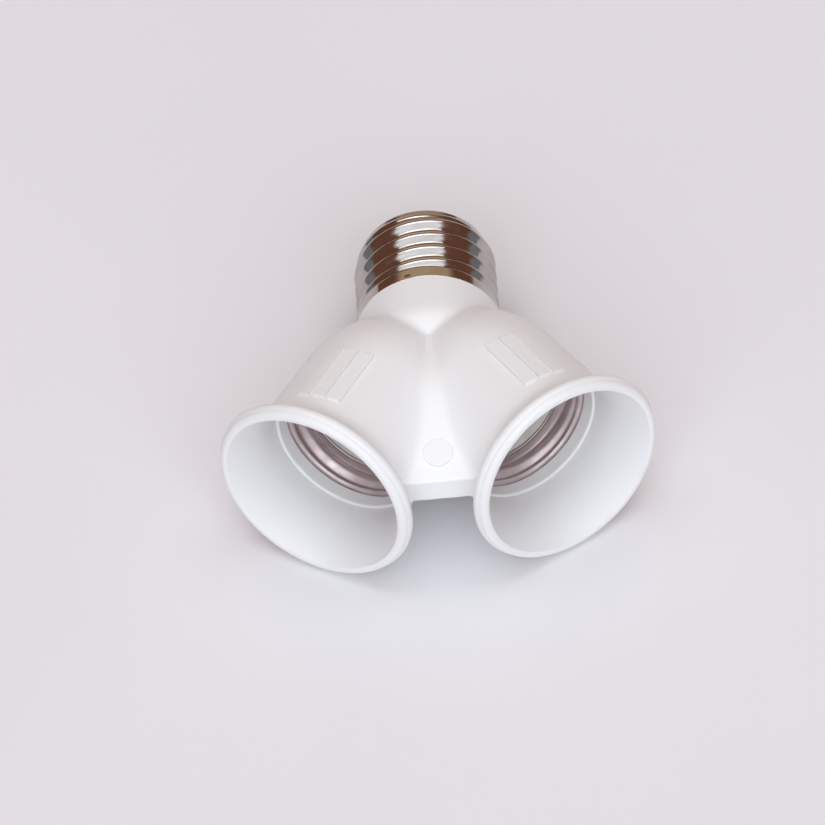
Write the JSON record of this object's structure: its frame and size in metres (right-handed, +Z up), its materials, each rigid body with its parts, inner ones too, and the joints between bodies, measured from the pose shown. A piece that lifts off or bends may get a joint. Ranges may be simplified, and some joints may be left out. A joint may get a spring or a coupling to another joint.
{
  "type": "lamp socket adapter",
  "caption": "Y-shaped screw lamp adapter: a metal screw cap on a short neck feeds flared lampholders that lean apart.",
  "frame": {"origin": "middle of the bounding box in plan, on the table under it", "axes": "+X to the right from the sockets' side, +Y from the sockets towards the cap end, +Z up; the part lies as it rests on a table"},
  "size_m": [0.0784, 0.0756, 0.0383],
  "materials": {
    "white_plastic": "glossy",
    "white_moulding": "satin",
    "nickelled_sheet": "bright",
    "dark_glass": "glossy",
    "contact_brass": "satin",
    "spring_brass": "satin",
    "solder": "satin",
    "lead_sleeve": "matte",
    "lead_sleeve_light": "matte"
  },
  "bodies": {
    "adapter": {"housing": "white_plastic", "cap_shell": "nickelled_sheet", "cap_insulator": "dark_glass", "cap_contact": "contact_brass", "cap_solder": "solder", "cap_shell_solder": "solder", "left_collar": "white_plastic", "left_screw_shell": "nickelled_sheet", "left_base": "white_moulding", "left_contact_rivet": "contact_brass", "left_live_lead": "lead_sleeve", "left_neutral_lead": "lead_sleeve_light", "left_live_solder": "solder", "left_neutral_solder": "solder", "right_collar": "white_plastic", "right_screw_shell": "nickelled_sheet", "right_base": "white_moulding", "right_contact_rivet": "contact_brass", "right_live_lead": "lead_sleeve", "right_neutral_lead": "lead_sleeve_light", "right_live_solder": "solder", "right_neutral_solder": "solder"},
    "left_contact": {"left_contact_strip": "spring_brass"},
    "right_contact": {"right_contact_strip": "spring_brass"}
  },
  "joints": [
    {"name": "left_contact_rock", "type": "hinge", "parent": "adapter", "child": "left_contact", "pos_m": [-0.01233, -0.00072, 0.01642], "axis": [0, -0.104, -0.9946], "range_deg": [-8, 0], "stiffness_Nm_per_rad": 0.1},
    {"name": "right_contact_rock", "type": "hinge", "parent": "adapter", "child": "right_contact", "pos_m": [0.01233, -0.00072, 0.01642], "axis": [0, 0.104, 0.9946], "range_deg": [-8, 0], "stiffness_Nm_per_rad": 0.1}
  ]
}
